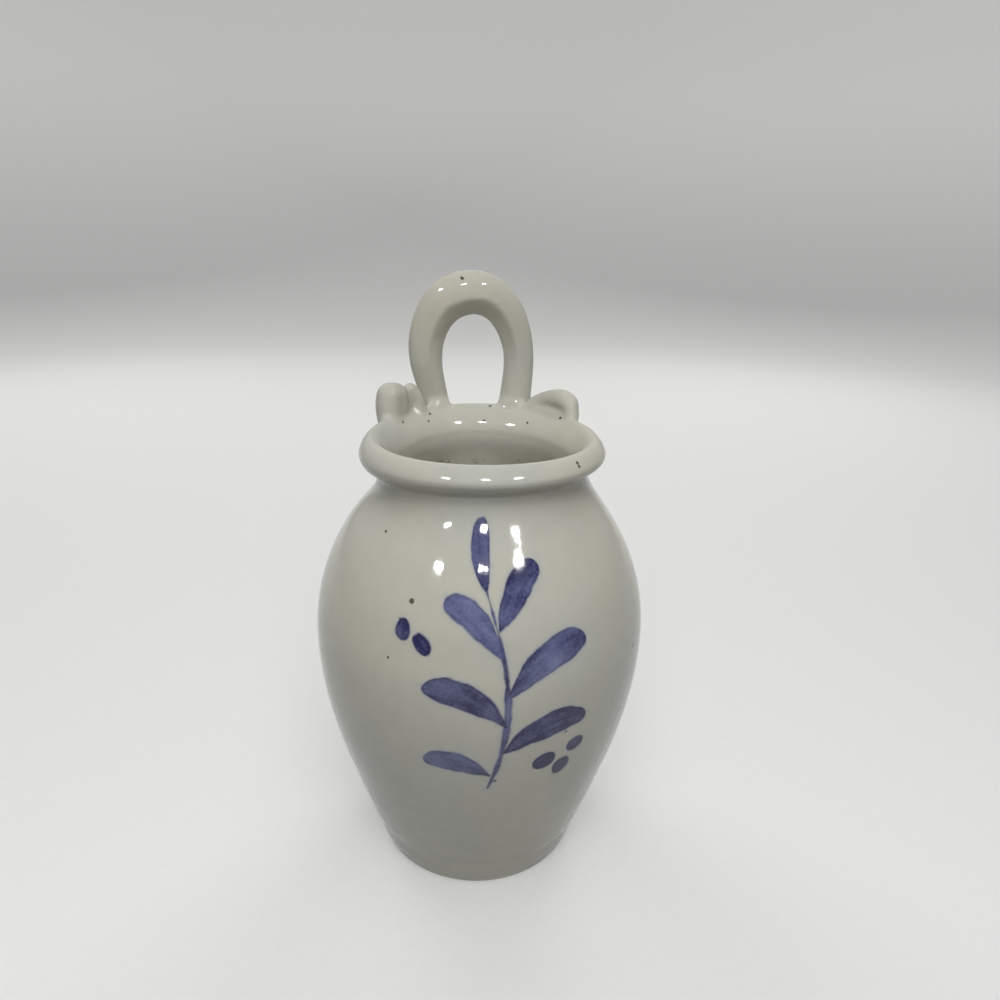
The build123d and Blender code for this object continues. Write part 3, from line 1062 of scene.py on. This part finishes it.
def lamp(name, place, size, power, mirrored):
    """A rectangular lamp that faces the vase: one that lights it, or one that the glaze only mirrors."""
    light = bpy.data.lights.new(name, "AREA")
    light.shape = "RECTANGLE"
    light.size, light.size_y = size
    light.energy = power
    obj = bpy.data.objects.new(name, light)
    obj.location = place
    obj.rotation_euler = (Vector(MIDDLE) - Vector(place)).to_track_quat("-Z", "Y").to_euler()
    obj.visible_glossy = mirrored
    obj.visible_diffuse = not mirrored
    bpy.context.scene.collection.objects.link(obj)


def studio_light():
    """Soft light from above, the front and both sides of the back, and small lamps that the glaze mirrors."""
    for name, place, size, power in SOFT_LAMPS:
        lamp(name, place, size, power, mirrored=False)
    for number, (azimuth, elevation) in enumerate(SPARKLES):
        turn, rise = math.radians(azimuth), math.radians(elevation)
        way = Vector((math.sin(turn) * math.cos(rise), -math.cos(turn) * math.cos(rise), math.sin(rise)))
        place = Vector(MIDDLE) + way * SPARKLE_AWAY
        lamp(f"sparkle_{number}", place, SPARKLE_SIZE, SPARKLE_POWER, mirrored=True)
    world = bpy.data.worlds.new("studio")
    world.use_nodes = True
    sky = world.node_tree.nodes["Background"]
    sky.inputs["Color"].default_value = SKY_COLOUR
    sky.inputs["Strength"].default_value = SKY_STRENGTH
    bpy.context.scene.world = world


# The camera, fitted to the photograph: lengths in metres, angles in degrees, lens and sensor in millimetres
CAMERA_SENSOR = 36.0
CAMERA_LENS = 27.58
CAMERA_CLIP = 0.01
CAMERA_AZIMUTH = -6.5
CAMERA_AWAY = 230.8 * MM
CAMERA_HEIGHT = 209.3 * MM
CAMERA_PITCH = 20.2
CAMERA_PAN = 1.44
CAMERA_ROLL = 1.43


def photo_camera():
    """The camera of the photograph: close, a little above the rim, looking down."""
    turn = math.radians(CAMERA_AZIMUTH)
    data = bpy.data.cameras.new("photo")
    data.sensor_width = CAMERA_SENSOR
    data.lens = CAMERA_LENS
    data.clip_start = CAMERA_CLIP
    camera = bpy.data.objects.new("photo", data)
    heading = Matrix.Rotation(turn - math.radians(CAMERA_PAN), 4, "Z")
    pitch = Matrix.Rotation(math.radians(90 - CAMERA_PITCH), 4, "X")
    roll = Matrix.Rotation(math.radians(CAMERA_ROLL), 4, "Z")
    place = Vector((CAMERA_AWAY * math.sin(turn), -CAMERA_AWAY * math.cos(turn), CAMERA_HEIGHT))
    camera.matrix_world = Matrix.Translation(place) @ heading @ pitch @ roll
    bpy.context.scene.collection.objects.link(camera)
    bpy.context.scene.camera = camera


glaze = plain_glaze()
inside_glaze = inner_glaze()
wall_mesh(painted_glaze(), inside_glaze)
foot_mesh(glaze, bare_clay())
seam_mesh(inside_glaze)
rim_mesh(glaze)
handle_meshes(glaze)
sweep_stage()
studio_light()
photo_camera()
bpy.context.scene.view_settings.view_transform = "Standard"
